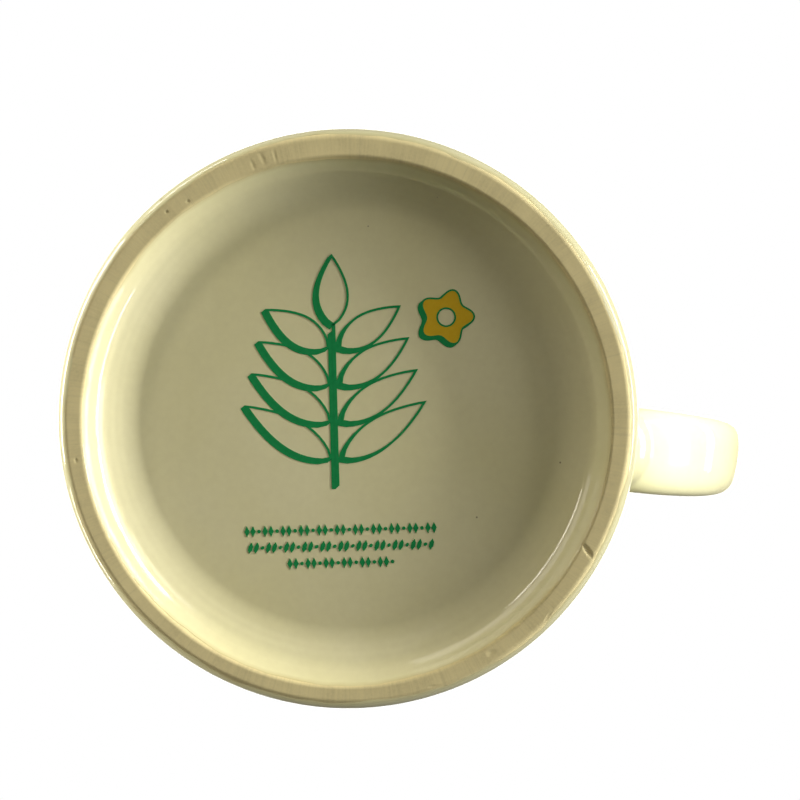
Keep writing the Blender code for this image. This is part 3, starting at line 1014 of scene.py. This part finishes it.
# What each light reaches is a name in REACH, at the end of the script
WARM = (1.0, 0.94, 0.82)
COOL = (0.93, 0.97, 1.0)
FILL_BELOW = 0.03
FILL_ABOVE = 0.16
LIGHTS = (
    # name, what it reaches, bearing, depth, distance, size, power, colour
    ("bar_middle", "foot", 15, 8.8, 0.6, (0.22, 0.06), 2.35),
    ("bar_upper", "foot", 35, 8.8, 0.6, (0.22, 0.06), 1.1),
    ("bar_lower", "foot", -5, 8.8, 0.6, (0.22, 0.06), 0.9),
    ("bar_lowest", "foot", -25, 8.8, 0.6, (0.22, 0.06), 0.6),
    ("right_soft", "mug", 12, 19, 0.6, (0.5, 0.12), 1.1),
    ("right_front", "mug", 40, 32, 0.6, (0.22, 0.14), 0.25),
    ("left_line", "mug", 152, 25, 0.6, (0.3, 0.055), 0.6, WARM),
    ("left_soft", "foot", 140, 9, 0.6, (0.7, 0.18), 1.0, WARM),
    ("top_front", "mug", 90, 60, 0.6, (0.3, 0.3), 0.15, WARM),
    ("back_left", "mug", 167, -7, 0.6, (0.5, 0.08), 4.4),
    ("back_low", "mug", 205, -7, 0.6, (0.2, 0.08), 1.0, WARM),
    ("back_top", "mug", 128, -7, 0.6, (0.2, 0.08), 0.5),
    ("back_right", "mug", 10, -7, 0.6, (0.5, 0.08), 2.6),
    ("low_right", "outside", 12, 50, 0.6, (0.3, 0.3), 1.7, COOL),
    ("under_strap", "strap", 105, 64, 0.6, (0.3, 0.3), 6.4, COOL),
)
SUN_STRENGTH = 2.1
SUN_WIDTH = math.radians(70)


def overhead():
    """A wide, even light from straight above, for the floor and the inside of the cup."""
    data = bpy.data.lights.new("overhead", "SUN")
    data.energy = SUN_STRENGTH
    data.angle = SUN_WIDTH
    bpy.context.scene.collection.objects.link(bpy.data.objects.new("overhead", data))


def light_set(name, state, *objects):
    """The objects that a light reaches: only those given for INCLUDE, or all the others for EXCLUDE."""
    made = bpy.data.collections.new(name)
    for obj in objects:
        made.objects.link(obj)
    for entry in made.collection_objects:
        entry.light_linking.link_state = state
    return made


def world():
    """White to the camera. To the rest it is a pale sky above the floor and nearly dark below it."""
    made = bpy.data.worlds.new("studio")
    made.use_nodes = True
    tree = made.node_tree
    background = tree.nodes["Background"]
    background.inputs["Color"].default_value = (1, 1, 1, 1)
    toward = tree.nodes.new("ShaderNodeSeparateXYZ")
    tree.links.new(tree.nodes.new("ShaderNodeTexCoord").outputs["Generated"], toward.inputs[0])
    sky = tree.nodes.new("ShaderNodeMapRange")
    limits = {"From Min": -0.05, "From Max": 0.15, "To Min": FILL_BELOW, "To Max": FILL_ABOVE}
    for socket, value in limits.items():
        sky.inputs[socket].default_value = value
    tree.links.new(toward.outputs[2], sky.inputs["Value"])
    path = tree.nodes.new("ShaderNodeLightPath")
    strength = tree.nodes.new("ShaderNodeMapRange")
    strength.inputs["To Max"].default_value = 1.0
    tree.links.new(path.outputs["Is Camera Ray"], strength.inputs["Value"])
    tree.links.new(sky.outputs["Result"], strength.inputs["To Min"])
    tree.links.new(strength.outputs["Result"], background.inputs["Strength"])
    bpy.context.scene.world = made


clear_default()
camera()
world()
overhead()
stage_floor = floor()
bpy.context.scene.view_settings.view_transform = "Standard"

GLAZE_EDGED = glaze_look("cream_glaze_cup", True)
GLAZE_PLAIN = glaze_look("cream_glaze_handle", False)
CLAY = clay_look("tan_clay", (0.80, 0.68, 0.34), True)
SLIP = clay_look("joining_slip", (0.55, 0.47, 0.32), False)
GREEN = ink_look("green_ink", (0.012, 0.28, 0.075))
YELLOW = ink_look("yellow_ink", (0.75, 0.47, 0.02))

outside = glaze_outside(GLAZE_EDGED)
glaze_recess(GLAZE_EDGED)
clay_body(CLAY)
strap = glaze_handle(GLAZE_PLAIN)
print_sprig(GREEN)
print_blossom(YELLOW, GREEN)
print_rows(GREEN)
carried_over_looks(CLAY, SLIP)

REACH = {
    "mug": light_set("lit_mug", "EXCLUDE", stage_floor),
    "foot": light_set("lit_foot", "EXCLUDE", stage_floor, outside, strap),
    "outside": light_set("lit_outside", "INCLUDE", outside, strap),
    "strap": light_set("lit_strap", "INCLUDE", strap),
}
for name, reach, *settings in LIGHTS:
    soft_light(name, *settings).light_linking.receiver_collection = REACH[reach]
